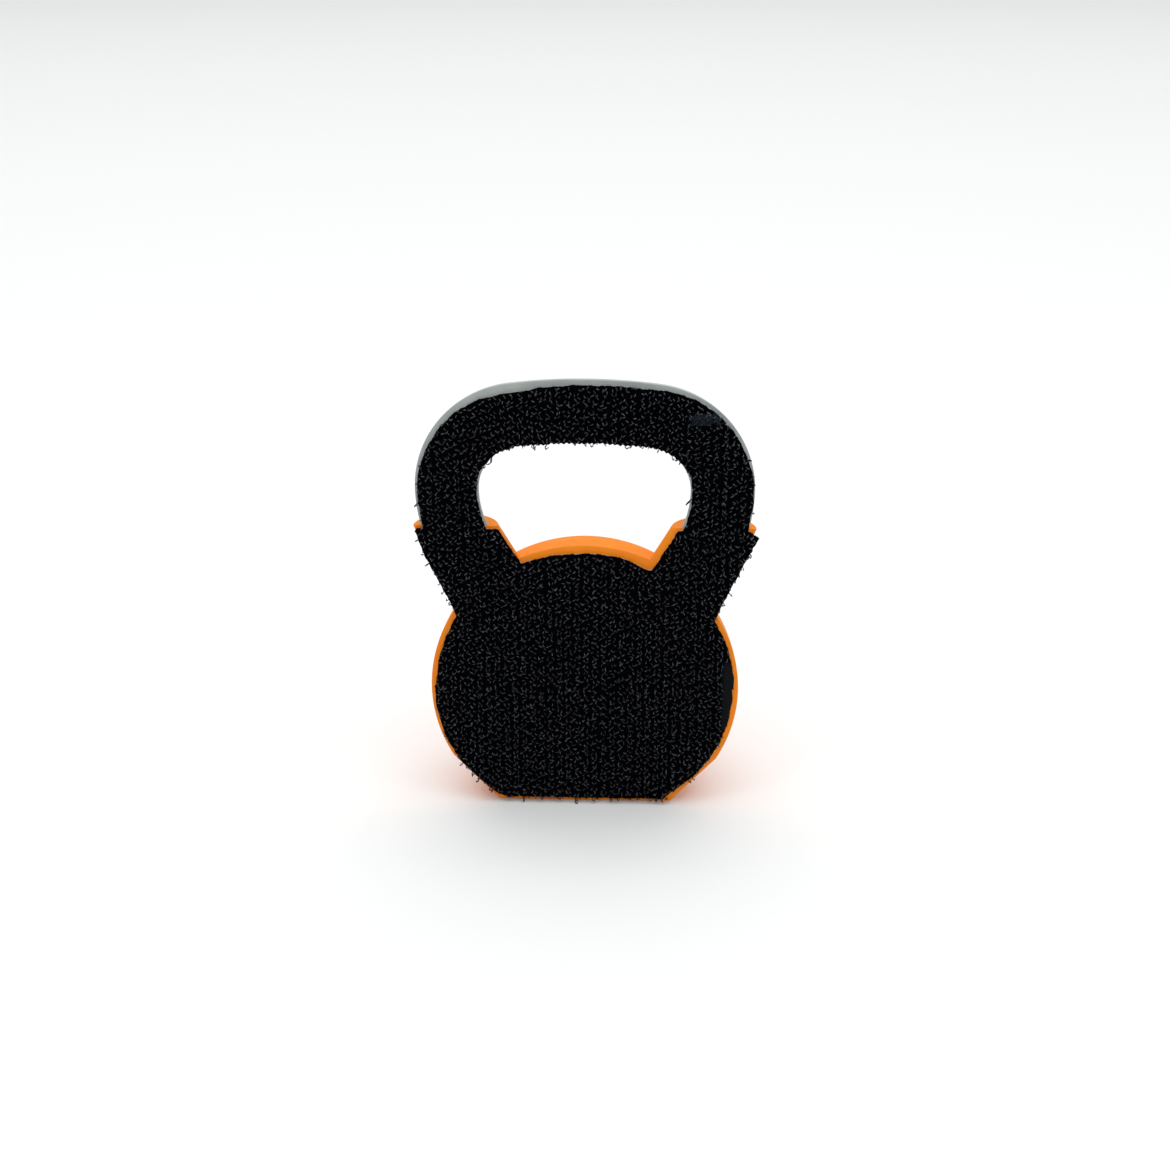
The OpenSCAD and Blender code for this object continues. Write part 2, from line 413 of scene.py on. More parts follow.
def body_half(depth, grow):
    """Right half of the body's outline at a depth, from the base's middle round to the top."""
    ball_r = math.sqrt(max(BALL_R**2 - depth**2, 0.0)) + grow
    base = -grow
    drop = BALL_Z - base
    if ball_r > drop:
        start = -math.acos(math.sqrt(ball_r**2 - drop**2) / ball_r)
    else:
        start = -math.pi / 2
    faces = BEVEL_SLOPE - math.pi / 2
    corner = BEVEL_X + (grow - base * BEVEL_NZ) / BEVEL_NX
    if corner < ball_r * math.cos(start):
        start = math.atan2(-drop, corner)
    bevel_top = faces + math.acos(min(1.0, (BEVEL_OFF + grow) / ball_r))

    def on_ball(angle):
        bevel = (BEVEL_OFF + grow) / np.maximum(np.cos(angle - faces), 0.1)
        r = np.minimum(ball_r, bevel)
        return r * np.cos(angle), BALL_Z + r * np.sin(angle)

    def axis_outside(s):
        x, z = horn_point(s, 0.0)
        return math.hypot(x, z - BALL_Z) > ball_r

    foot = on_ball(start)
    if depth < HORN_TOP_R:
        tops = []
        for side in (1, -1):
            s = 0.0
            for _ in range(HALVINGS):
                s = 0.5 * s + 0.5 * side * TAN_L * horn_half(s, depth, grow)
            tops.append(s)
        lift = grow / COS_L
    else:
        tip_s = -(depth - HORN_TOP_R) / TAPER
        tops = [tip_s, tip_s]
        lift = 0.0
    leaves = [horn_edge(depth, grow, ball_r, side, s) for side, s in zip((1, -1), tops)]
    if None in leaves:
        # The horn is wholly inside the ball, so its points gather where its axis leaves it.
        axis_s = halve(axis_outside, -HORN_LEN, 20.0)[0]
        x, z = horn_point(axis_s, 0.0)
        meet = math.atan2(z - BALL_Z, x)
        point = np.array(on_ball(meet))
        horn = np.repeat(point[None], 2 * HORN_STEPS + sum(ACROSS_STEPS), axis=0)
        angles = (meet, meet)
    else:
        sides = []
        for side, low, high in zip((1, -1), leaves, tops):
            k = np.sin(np.linspace(0, math.pi / 2, HORN_STEPS + 1))
            along = low + (high + lift - low) * k
            sides.append(
                np.array([horn_point(s, side * horn_half(s, depth, grow)) for s in along])
            )
        outer, inner = sides
        tip = horn_point(lift, 0.0) if depth < HORN_TOP_R else tuple(outer[-1])
        across = collar_line(outer[-1], inner[-1], depth, SOCKET_R, SOCKET_LEN, tip)
        horn = np.concatenate([outer[:-1], across, inner[::-1][:-1]])
        angles = [math.atan2(e[0][1] - BALL_Z, e[0][0]) for e in (outer, inner)]
    low_angles = np.append(
        np.linspace(start, bevel_top, BEVEL_STEPS + 1)[:-1],
        np.linspace(bevel_top, angles[0], LOWER_STEPS + 1)[:-1],
    )
    lower = np.stack(on_ball(low_angles), axis=1)
    upper_angles = np.linspace(angles[1], math.pi / 2, UPPER_STEPS + 1)
    upper = np.stack(on_ball(upper_angles), axis=1)
    flat = spread((0.0, foot[1]), foot, BASE_STEPS)
    return np.concatenate([flat, lower, horn, upper])


def body_ring(depth, grow):
    half = body_half(depth, grow)
    return np.concatenate([half, (half * (-1, 1))[::-1][1:-1]])


def arc(x, z, radius, low, high, count):
    """count points round an arc, without its last."""
    turn = np.linspace(low, high, count + 1)[:-1]
    return np.stack([x + radius * np.cos(turn), z + radius * np.sin(turn)], axis=1)


def handle_path(depth, grow, side):
    """The handle's outer (side 1) or inner edge at a depth, from right collar to left."""
    half = math.sqrt(max(HANDLE_R**2 - depth**2, 0.0)) + grow
    leg, corner, arch = (r + side * half for r in (LEG_R, CORNER_R, ARCH_R))
    low = -math.asin((CORNER_Z - COLLAR_Z) / leg)
    meet = math.atan2(UP_PARTS, ACROSS_PARTS)
    half_path = np.concatenate(
        [
            arc(LEG_X, CORNER_Z, leg, low, 0.0, LEG_STEPS),
            arc(CORNER_X, CORNER_Z, corner, 0.0, meet, CORNER_STEPS),
            arc(0.0, ARCH_Z, arch, meet, math.pi / 2, ARCH_STEPS),
        ]
    )
    middle = np.array([[0.0, ARCH_Z + arch]])
    return np.concatenate([half_path, middle, (half_path * (-1, 1))[::-1]])


def handle_ring(depth, grow):
    outer, inner = handle_path(depth, grow, 1), handle_path(depth, grow, -1)
    tip = (COLLAR_X, COLLAR_Z)
    right = collar_line(outer[0], inner[0], depth, PEG_R, PEG_LEN, tip)
    left = right * (-1, 1)
    # Anticlockwise: right leg up, over, left leg down, across the left foot, and back.
    return np.concatenate([outer, left[1:], inner[::-1], right[::-1][:-1]])


def stacked(ring, height):
    """The rings of a print, from its flat back to its top, as (depth, points)."""
    count = int(round(height / LAYER))
    step = height / count
    rings = []
    for k in range(count):
        middle = (k + 0.5) * step
        low, high = k * step, (k + 1) * step
        if k:
            rings.append((low, ring(middle, -GROOVE)))
        rings.append((low + (ROUNDING if k else 0.0), ring(middle, 0.0)))
        rings.append((high - (ROUNDING if k < count - 1 else 0.0), ring(middle, 0.0)))
    return rings


def skin(name, rings, material, back, top):
    """A closed skin through the rings. back and top give the faces at the two ends."""
    size = len(rings[0][1])
    verts = np.concatenate(
        [np.stack([p[:, 0], np.full(size, depth), p[:, 1]], axis=1) for depth, p in rings]
    )
    faces = []
    for k in range(len(rings) - 1):
        a, b = k * size, (k + 1) * size
        for i in range(size):
            j = (i + 1) % size
            faces.append((a + j, a + i, b + i, b + j))
    last = (len(rings) - 1) * size
    faces += [tuple(f) for f in back]
    faces += [tuple(last + i for i in reversed(f)) for f in top]
    obj = mesh_object(name, verts, faces, material)
    clean(obj)
    sharp_by_angle(obj, 40.0)
    return obj


def sharp_by_angle(obj, degrees):
    """Smooth shading, with edges sharper than the angle left crisp."""
    bm = bmesh.new()
    bm.from_mesh(obj.data)
    limit = math.radians(degrees)
    for edge in bm.edges:
        edge.smooth = not (len(edge.link_faces) == 2 and edge.calc_face_angle(0.0) > limit)
    bm.to_mesh(obj.data)
    bm.free()


def ladder(outer, inner):
    """Quads between two rows of indices."""
    return [
        (outer[k], outer[k + 1], inner[k + 1], inner[k]) for k in range(len(outer) - 1)
    ]


body_rings = stacked(body_ring, BALL_R)
body_size = len(body_rings[0][1])
body = skin("body_print", body_rings, ORANGE, [range(body_size)], [range(body_size)])

handle_rings = stacked(handle_ring, HANDLE_R)
path_n = len(handle_path(0.0, 0.0, 1))
foot_n = (len(handle_rings[0][1]) - 2 * path_n) // 2
outer_ids = list(range(path_n))
left_ids = list(range(path_n, path_n + foot_n))
inner_ids = list(range(path_n + foot_n, 2 * path_n + foot_n))[::-1]
right_ids = list(range(2 * path_n + foot_n, 2 * path_n + 2 * foot_n))
ends = ladder(outer_ids[1:-1], inner_ids[1:-1])
ends.append((outer_ids[-2], outer_ids[-1], *left_ids, inner_ids[-1], inner_ids[-2]))
ends.append((inner_ids[1], inner_ids[0], *right_ids, outer_ids[0], outer_ids[1]))
handle = skin("handle_print", handle_rings, GREY, ends, ends)

# ---------------------------------------------------------------- tape cuts
# A cut is a function of x and z that is positive inside the piece, about as
# large as the distance to its edge. The tape was cut by hand, so each edge
# strays a little from the plain outline. An inset is how far an edge is inside
# that outline, and one below nought stands out past it.

# The ball's edge above the seam and below it, how far each is off the middle, and
# their height above the floor.
UPPER_INSET, UPPER_SHIFT = 0.85, 0.1
LOWER_INSET, LOWER_SHIFT = 0.82, -0.2
UPPER_FOOT, LOWER_FOOT = 0.6, 0.7
# The horns' inner and outer sides, and how much further out the tape stands
# half-way down each horn and at the right collar.
LEFT_INNER, LEFT_OUTER, LEFT_BULGE = 0.2, 0.1, 0.5
RIGHT_INNER, RIGHT_OUTER, RIGHT_BULGE, RIGHT_LIP = 1.3, -0.3, 0.35, 0.45
# How far below a collar the horn's piece of tape stops and the handle's starts.
HORN_DROP, HANDLE_DROP = 0.5, 1.2
# The handle's top edge, how much further it was cut back on the left corner and
# how much less on the right, its outer sides, its inner edge, and how much
# further it was cut back beside the legs' inner sides.
TOP_INSET, TOP_LEFT, TOP_RIGHT = 0.87, 0.68, 0.3
RIGHT_SIDE, LEFT_SIDE = 0.2, 0.42
INNER_INSET, LEG_INSET = 0.02, 0.28
# The notches between the warp ends along the bar: depth, and pitch in columns.
NOTCH, NOTCH_PITCH = 0.13, 1.1
# The bevels' edges on the right and on the left, and how much further in each is
# at the floor. The right side of the ball is cut further in towards the base too.
BEVEL_RIGHT, BEVEL_LEFT = 0.65, 0.3
FLOOR_RIGHT, FLOOR_LEFT = 0.7, 0.4
BASE_RIGHT = 0.35
# Corners that are snipped off: a point on the snip, and the direction it faces.
RIGHT_SNIP = (30.0, 51.9), (0.62, 0.78)
LEFT_SNIP = (-29.2, 52.9), (-0.8, 0.6)
FOOT_SNIP = (-14.6, 0.9), (-0.4, -0.92)
# The pieces on the right leg: their gap above the collar, and half the gap
# between them and their neighbours.
LEG_GAP, STRIP_GAP = 0.05, 0.1
PATCH_GAP, SIDE_GAP = 0.03, 0.02


def bell(value, centre, width):
    """A smooth bump, 1 at its centre."""
    return np.exp(-(((value - centre) / width) ** 2))


def fade(value, start, width):
    """0 up to start and 1 from a width further on, which may be the other way."""
    return np.clip((value - start) / width, 0.0, 1.0)


def snipped(x, z, snip):
    (at_x, at_z), (way_x, way_z) = snip
    return (at_x - x) * way_x + (at_z - z) * way_z


def ball_cut(x, z):
    reach = BALL_R - UPPER_INSET - np.hypot(x - UPPER_SHIFT, z - BALL_Z)
    return np.minimum(reach, z - UPPER_FOOT)


def horn_cut(x, z, side, inner_inset, outer_inset):
    dx, dz = x * side - COLLAR_X, z - COLLAR_Z
    s = dx * SIN_L + dz * COS_L
    t = dx * COS_L - dz * SIN_L
    half = HORN_TOP_R - TAPER * np.minimum(s, 0.0)
    walls = [half - outer_inset - t, half - inner_inset + t]
    return np.minimum.reduce([*walls, s + HORN_LEN, COLLAR_Z - HORN_DROP - z])


def handle_cut(x, z):
    """The tape on the handle. Its top edge was cut back most on the left corner."""
    px = np.abs(x)
    arch = np.hypot(px, z - ARCH_Z) - ARCH_R
    corner = np.hypot(px - CORNER_X, z - CORNER_Z) - CORNER_R
    leg = np.hypot(px - LEG_X, z - CORNER_Z) - LEG_R
    across = np.where(px * UP_PARTS < (z - ARCH_Z) * ACROSS_PARTS, arch, corner)
    across = np.where(z < CORNER_Z, leg, across)
    top = TOP_INSET + TOP_LEFT * bell(x, -13.5, 6.5) - TOP_RIGHT * fade(x, 15.0, 4.0)
    side = np.where(x > 0, RIGHT_SIDE, LEFT_SIDE)
    outer_inset = side + (top - side) * fade(z, 62.0, 7.0)
    low = fade(z, 67.0, -4.0)
    notch = NOTCH * np.cos(2 * math.pi * x / (NOTCH_PITCH * COLUMN)) * (1 - low)
    inner_inset = INNER_INSET + LEG_INSET * low - notch
    wall = np.minimum(HANDLE_R - outer_inset - across, HANDLE_R - inner_inset + across)
    return np.minimum(wall, z - COLLAR_Z + HANDLE_DROP)


def wander(x, z, amount=0.09):
    """The slow waver of a hand-cut edge."""
    return amount * (
        np.sin(0.9 * x + 1.3 * z + 0.7) * 0.6
        + np.sin(2.3 * x - 1.7 * z + 2.1) * 0.4
        + np.sin(4.1 * x + 3.7 * z) * 0.3
    )


def tape_cut(x, z):
    """All the tape, apart from the seams and the lower piece."""
    # The ball's top edge dips beside the right horn.
    dip = (0.55 * bell(x, 0.0, 9.0) + 0.9 * bell(x, 10.8, 3.2)) * (z > 40)
    whole = ball_cut(x, z) - dip
    bulge = bell(z, 47.5, 4.0)
    left = horn_cut(x, z, -1, LEFT_INNER, LEFT_OUTER - LEFT_BULGE * bulge)
    lip = RIGHT_LIP * bell(z, 52.0, 3.0)
    right = horn_cut(x, z, 1, RIGHT_INNER, RIGHT_OUTER - RIGHT_BULGE * bulge - lip)
    whole = np.maximum(whole, np.minimum(left, snipped(x, z, LEFT_SNIP)))
    whole = np.maximum(whole, np.minimum(right, snipped(x, z, RIGHT_SNIP)))
    whole = np.maximum(whole, handle_cut(x, z))
    return whole + wander(x, z)


def seam_gap(x):
    """Half the width of the level seam: all but shut, and open at one place."""
    return 0.012 + 0.07 * bell(x, 13.2, 1.6) + 0.008 * np.sin(3.1 * x)


def patch_area(x, z):
    return np.minimum.reduce([x - PATCH_X, z - COLLAR_Z - LEG_GAP, PATCH_TOP_Z - z])


def main_cut(x, z):
    level = z - SEAM_Z - seam_gap(x)
    off_patch = -patch_area(x, z) - PATCH_GAP
    off_strip = -np.minimum(x - STRIP_X, z - COLLAR_Z - LEG_GAP) - PATCH_GAP
    return np.minimum.reduce([tape_cut(x, z), level, off_patch, off_strip])


def lower_cut(x, z):
    right = x > 0
    further = BASE_RIGHT * fade(z, 12.0, -4.0) * right
    reach = BALL_R - LOWER_INSET - further - np.hypot(x - LOWER_SHIFT, z - BALL_Z)
    bevel = -(np.abs(x) - BEVEL_X) * BEVEL_NX - z * BEVEL_NZ
    bevel = bevel - np.where(right, BEVEL_RIGHT, BEVEL_LEFT)
    bevel = bevel - np.where(right, FLOOR_RIGHT, FLOOR_LEFT) * fade(z, 5.0, -4.0)
    edges = [reach, bevel, z - LOWER_FOOT, snipped(x, z, FOOT_SNIP)]
    whole = np.minimum.reduce(edges) + wander(x, z, 0.07)
    return np.minimum(whole, SEAM_Z - seam_gap(x) - z)


def patch_cut(x, z):
    inside = patch_area(x, z) - PATCH_GAP
    return np.minimum.reduce([tape_cut(x, z), inside, STRIP_X - SIDE_GAP - x])


def strip_cut(x, z):
    side = np.minimum(x - STRIP_X - SIDE_GAP, z - COLLAR_Z - STRIP_GAP)
    return np.minimum(tape_cut(x, z), side)


def selvage(x, z):
    """Positive where the tape has a plain woven edge, without hooks."""
    return np.minimum(x - SELVAGE_X, SELVAGE_HALF - np.abs(z - SELVAGE_Z))


# ------------------------------------------------------------- woven grounds

# The spacing of the hook columns and rows, the cells that a sheet is cut from, and
# the length of one wave of the weft.
COLUMN = 0.79
ROW = 0.84
CELL_X, CELL_Z = COLUMN / 4, 0.3
PICK = 0.9
# A grid reaches this far from the middle and from the floor.
GRID_X, GRID_Z = 32, 82
# How close to a grid point an edge may cross, as a share of the cell.
NEAREST = 0.06


class Cutter:
    """Cuts a sheet out of a grid along the line where a cut function is nought."""

    def __init__(self, cut, step_x, step_z, rough=0.0, seed=1):
        cells_x, cells_z = math.ceil(GRID_X / step_x), math.ceil(GRID_Z / step_z)
        self.xs = np.arange(-cells_x, cells_x + 1) * step_x
        self.zs = np.arange(-2, cells_z + 1) * step_z
        gx, gz = np.meshgrid(self.xs, self.zs, indexing="ij")
        self.field = cut(gx, gz)
        if rough:
            jag = np.random.default_rng(seed).uniform(-1, 1, self.field.shape)
            self.field = self.field + rough * jag * (np.abs(self.field) < 0.5)
        self.inside = self.field > 0
        self.index, self.points, self.depth_in = {}, [], []
        self.polys, self.rims = [], []
        some = self.inside[:-1, :-1] | self.inside[1:, :-1]
        some |= self.inside[:-1, 1:] | self.inside[1:, 1:]
        for i, j in zip(*np.nonzero(some)):
            self.cell(int(i), int(j))

    def add(self, key, x, z, within):
        if key not in self.index:
            self.index[key] = len(self.points)
            self.points.append((x, z))
            self.depth_in.append(within)
        return self.index[key]

    def crossing(self, a, b):
        a, b = min(a, b), max(a, b)
        fa, fb = self.field[a], self.field[b]
        k = min(max(fa / (fa - fb), NEAREST), 1 - NEAREST)
        x = self.xs[a[0]] * (1 - k) + self.xs[b[0]] * k
        z = self.zs[a[1]] * (1 - k) + self.zs[b[1]] * k
        return self.add((a, b), x, z, 0.0)

    def cell(self, i, j):
        ring = ((i, j), (i + 1, j), (i + 1, j + 1), (i, j + 1))
        poly, cuts = [], []
        for k in range(4):
            a, b = ring[k], ring[(k + 1) % 4]
            if self.inside[a]:
                poly.append(self.add(a, self.xs[a[0]], self.zs[a[1]], self.field[a]))
                cuts.append(False)
            if self.inside[a] != self.inside[b]:
                poly.append(self.crossing(a, b))
                cuts.append(True)
        for k in range(len(poly)):
            n = (k + 1) % len(poly)
            if cuts[k] and cuts[n]:
                self.rims.append((poly[k], poly[n]))
        self.polys.append(tuple(poly))


def slab(name, cutter, face_depth, back_depth, material, relief=None):
    """A closed sheet between two depths, with a relief on its face."""
    flat = np.array(cutter.points)
    within = np.array(cutter.depth_in)
    count = len(flat)
    face = np.full(count, float(face_depth))
    if relief is not None:
        face = face - relief(flat[:, 0], flat[:, 1], within)
    top = np.stack([flat[:, 0], face, flat[:, 1]], axis=1)
    back = np.stack([flat[:, 0], np.full(count, float(back_depth)), flat[:, 1]], axis=1)
    faces = list(cutter.polys)
    faces += [tuple(count + k for k in reversed(p)) for p in cutter.polys]
    faces += [(q, p, count + p, count + q) for p, q in cutter.rims]
    obj = mesh_object(name, np.concatenate([top, back]), faces, material)
    sharp_by_angle(obj, 50.0)
    return obj


RIB_RISE, PICK_RISE, EDGE_DROP = 0.05, 0.035, 0.1


def weave(x, z, within):
    """Ribs of warp along the hook columns, crossed by the weft; thinner at a cut edge."""
    rib = np.cos(2 * math.pi * x / COLUMN) * 0.5 + 0.5
    side = np.where(np.round(x / COLUMN) % 2 == 0, 1.0, -1.0)
    pick = side * np.sin(2 * math.pi * z / PICK)
    plain = np.where(selvage(x, z) > -0.3, 0.35, 1.0)
    edge = np.clip(within / 0.35, 0.0, 1.0)
    return (RIB_RISE * rib + PICK_RISE * pick) * plain * edge - EDGE_DROP * (1 - edge)


# --------------------------------------------------------------------- hooks

FILAMENT_R = 0.082
FILAMENT_SIDES = 5
# The sides of the stubs' and the loose threads' tubes.
THIN_SIDES = 4
# The lowest and highest of each measure: a crook's radius, the angle in degrees
# that it stops at, the straight length after it, and the bow of the hook's stem.
CROOK_R, CROOK_STOP = (0.17, 0.28), (-55.0, -5.0)
CROOK_END, BOW = (0.04, 0.2), (-0.05, 0.08)
CROOK_STEPS = 6
# The same for a stub: its extra distance from the hook, height, and its tip's lean.
STUB_AWAY, STUB_RISE, STUB_TIP = (-0.05, 0.2), (0.5, 0.95), (0.1, 0.4)
# How far below the face of the ground a hook's and a stub's stem starts.
SUNK, STUB_SUNK = 0.12, 0.1


def tubes(paths, across, radius, sides):
    """Closed tubes along many paths at once. across is each path's own sideways direction."""
    count, steps, _ = paths.shape
    ahead = np.gradient(paths, axis=1)
    ahead /= np.linalg.norm(ahead, axis=2, keepdims=True)
    side = np.repeat(across[:, None, :], steps, axis=1)
    side = side - (side * ahead).sum(axis=2, keepdims=True) * ahead
    side /= np.linalg.norm(side, axis=2, keepdims=True)
    up = np.cross(ahead, side)
    turn = np.arange(sides) * 2 * math.pi / sides
    ring = (
        np.cos(turn)[None, None, :, None] * side[:, :, None, :]
        + np.sin(turn)[None, None, :, None] * up[:, :, None, :]
    )
    verts = paths[:, :, None, :] + ring * radius[..., None, None]
    base = (np.arange(count) * steps * sides)[:, None, None]
    step = (np.arange(steps - 1) * sides)[None, :, None]
    here = np.arange(sides)[None, None, :]
    after = (here + 1) % sides
    quads = np.stack(
        [
            base + step + here,
            base + step + after,
            base + step + sides + after,
            base + step + sides + here,
        ],
        axis=-1,
    ).reshape(-1, 4)
    ends = []
    for k in range(count):
        first = k * steps * sides
        last = first + (steps - 1) * sides
        ends.append(tuple(range(first + sides - 1, first - 1, -1)))
        ends.append(tuple(range(last, last + sides)))
    return verts.reshape(-1, 3), [tuple(q) for q in quads.tolist()] + ends


def merged(*parts):
    """Several meshes as one."""
    verts, faces, start = [], [], 0
    for v, f in parts:
        verts.append(v)
        faces += [tuple(i + start for i in face) for face in f]
        start += len(v)
    return np.concatenate(verts), faces


def hook_shapes(x, z, phi, lean_x, lean_z, tall, stout, rng):
    """Hooks and the stubs beside them, each loop cut open on one side of its crook."""
    count = len(x)
    root = -(FILM_T + GROUND_T)
    crook = rng.uniform(*CROOK_R, count)
    height = tall - FILAMENT_R
    close = np.radians(rng.uniform(*CROOK_STOP, count))
    end = rng.uniform(*CROOK_END, count)
    bow = rng.uniform(*BOW, count)
    # u runs along the crook's direction, n out from the ground.
    u = [np.zeros(count), bow, np.zeros(count)]
    n = [np.full(count, -SUNK), 0.5 * (height - crook), height - crook]
    for k in np.linspace(0, 1, CROOK_STEPS)[1:]:
        a = math.pi + (close - math.pi) * k
        u.append(crook + crook * np.cos(a))
        n.append(height - crook + crook * np.sin(a))
    u.append(u[-1] + np.sin(close) * end)
    n.append(n[-1] - np.cos(close) * end)
    u, n = np.stack(u, axis=1), np.stack(n, axis=1)
    along = np.stack([np.cos(phi), np.zeros(count), np.sin(phi)], axis=1)
    out = np.stack([lean_x, np.full(count, -1.0), lean_z], axis=1)
    foot = np.stack([x, np.full(count, root), z], axis=1)
    across = np.stack([-np.sin(phi), np.zeros(count), np.cos(phi)], axis=1)
    paths = foot[:, None] + u[..., None] * along[:, None] + n[..., None] * out[:, None]
    thick = np.full(u.shape, FILAMENT_R) * stout[:, None]
    thick[:, -1] *= 0.85
    hooks = tubes(paths, across, thick, FILAMENT_SIDES)
    # The stub: what is left of the loop's other leg.
    gap = 2 * crook + rng.uniform(*STUB_AWAY, count)
    rise = rng.uniform(*STUB_RISE, count)
    su = np.stack([gap + 0.06, gap, gap - rng.uniform(*STUB_TIP, count)], axis=1)
    sn = np.stack([np.full(count, -STUB_SUNK), 0.5 * rise, rise], axis=1)
    paths = foot[:, None] + su[..., None] * along[:, None] + sn[..., None] * out[:, None]
    stubs = tubes(paths, across, np.full(su.shape, FILAMENT_R * 0.95), THIN_SIDES)
    return hooks, stubs


def gradient(cut, x, z):
    """The direction in which a cut function grows, away from its edge."""
    step = 0.1
    gx = (cut(x + step, z) - cut(x - step, z)) / (2 * step)
    gz = (cut(x, z + step) - cut(x, z - step)) / (2 * step)
    size = np.maximum(np.hypot(gx, gz), 1e-6)
    return gx / size, gz / size


# Hooks that stick out well past a cut edge: x, z, the crook's direction in
# degrees, and how far the hook leans in x and z for each unit of height.
STRAYS = (
    (27.6, 66.0, 150.0, 0.75, 0.35),
    (18.3, 59.0, -120.0, -0.7, -0.3),
    (-26.6, 41.8, 160.0, -0.45, -0.2),
    (-12.6, 68.7, -100.0, 0.0, -0.55),
    (-8.6, 68.7, -60.0, 0.1, -0.5),
    (-19.0, 4.8, 200.0, -0.4, -0.45),
    (-16.6, 2.9, 170.0, -0.35, -0.3),
)


# The lattice of hooks, by column and by row.
FIRST_COLUMN, LAST_COLUMN = -38, 38
FIRST_ROW, LAST_ROW = -1, 97
# How far every second column moves towards its pair, and how far a hook strays.
PAIRING = 0.16
JITTER_X, JITTER_Z = 0.045, 0.08
# The crooks' mean slope in degrees and its spread, and the share that slope back.
TILT, TILT_SPREAD, FLIPPED = 46.0, 20.0, 0.12
# The spread of a hook's lean in x and z, and the share of hooks that are missing.
SWAY = [[0.1], [0.18]]
MISSING = 0.015
# A hook's least and greatest height, as shares of HOOK_H, and how much shorter
# every second column is.
TALL, SHORTER = (0.8, 1.0), 0.1
# How far inside the edge a hook's root is, and how far outside it a stray's may be.
ROOT_INSET, STRAY_REACH = 0.06, 0.4
# How far the hooks beside an edge lean out, and how far inside it they still do.
SPLAY, SPLAY_REACH = (0.0, 0.18), 0.9
# The share of hooks beside an edge that stand well out over it, how far they lean,
# their extra thickness, and how far inside the edge they may stand.
BOLD, BOLD_LEAN, STOUTER, BOLD_REACH = 0.045, (0.4, 0.75), 0.35, 0.6
# How far the hooks lean up for each unit of height, away from the cut edges.
LEAN_UP = 0.3
# No hook reaches lower than this above the floor.
CLEAR = 0.03


def hooks_on(name, cut, seed, part=None):
    """The hooks of one piece of tape. part says which of them this object holds."""
    rng = np.random.default_rng(seed)
    columns = np.arange(FIRST_COLUMN, LAST_COLUMN + 1)
    rows = np.arange(FIRST_ROW, LAST_ROW + 1)
    ci, ri = (g.ravel() for g in np.meshgrid(columns, rows, indexing="ij"))
    # Columns go in pairs, and the hooks of a column slope to alternate sides.
    odd = ci % 2
    phase = 0.5 * odd + 0.12 * np.sin(1.7 * ci)
    x = ci * COLUMN - PAIRING * odd + rng.normal(0, JITTER_X, ci.size)
    z = (ri + phase) * ROW + rng.normal(0, JITTER_Z, ci.size)
    side = np.where((ri + ci // 2) % 2 == 0, 1.0, -1.0)
    side = side * np.where(rng.uniform(size=ci.size) < FLIPPED, -1.0, 1.0)
    tilt = np.radians(rng.normal(TILT, TILT_SPREAD, ci.size))
    phi = np.where(side > 0, -tilt, math.pi + tilt)
    sway = rng.normal(0, 1, (2, ci.size)) * SWAY
    tall = HOOK_H * rng.uniform(*TALL, ci.size) * (1 - SHORTER * odd)
    within = cut(x, z)
    keep = (within > ROOT_INSET) & (rng.uniform(size=ci.size) > MISSING)
    keep &= selvage(x, z) < 0
    if part is not None:
        keep &= part(x, z)
    x, z, phi, tall, within = (a[keep] for a in (x, z, phi, tall, within))
    sway = sway[:, keep]
    # Hooks beside a cut edge splay outwards over it.
    gx, gz = gradient(cut, x, z)
    bold = (rng.uniform(size=len(x)) < BOLD) & (within < BOLD_REACH)
    splay = np.clip(1 - within / SPLAY_REACH, 0, 1) * rng.uniform(*SPLAY, len(x))
    splay = np.where(bold, rng.uniform(*BOLD_LEAN, len(x)), splay)
    lean_x = sway[0] - gx * splay
    lean_z = sway[1] - gz * splay + LEAN_UP * np.clip(within / 0.8, 0.0, 1.0)
    stray = np.array(STRAYS)
    mine = cut(stray[:, 0], stray[:, 1]) > -STRAY_REACH
    if part is not None:
        mine &= part(stray[:, 0], stray[:, 1])
    stray = stray[mine]
    x, z = np.append(x, stray[:, 0]), np.append(z, stray[:, 1])
    phi = np.append(phi, np.radians(stray[:, 2]))
    lean_x, lean_z = np.append(lean_x, stray[:, 3]), np.append(lean_z, stray[:, 4])
    tall = np.append(tall, np.full(len(stray), HOOK_H))
    tall = tall / np.sqrt(1 + 0.5 * (lean_x**2 + lean_z**2))
    stout = 1 + STOUTER * np.append(bold, np.ones(len(stray)))
    hooks, stubs = hook_shapes(x, z, phi, lean_x, lean_z, tall, stout, rng)
    verts, faces = merged(hooks, stubs)
    verts[:, 2] = np.maximum(verts[:, 2], CLEAR)
    return mesh_object(name, verts, faces, HOOK)


# A loose thread's length, its rise out of the tape for each unit of length, its
# radius, and the spreads of its slope to a side and of its curl.
THREAD_LENGTH, THREAD_RISE, THREAD_R = (0.4, 1.6), (0.5, 1.8), (0.025, 0.045)
THREAD_SWING, THREAD_CURL = 0.5, 0.35
THREAD_STEPS = 6


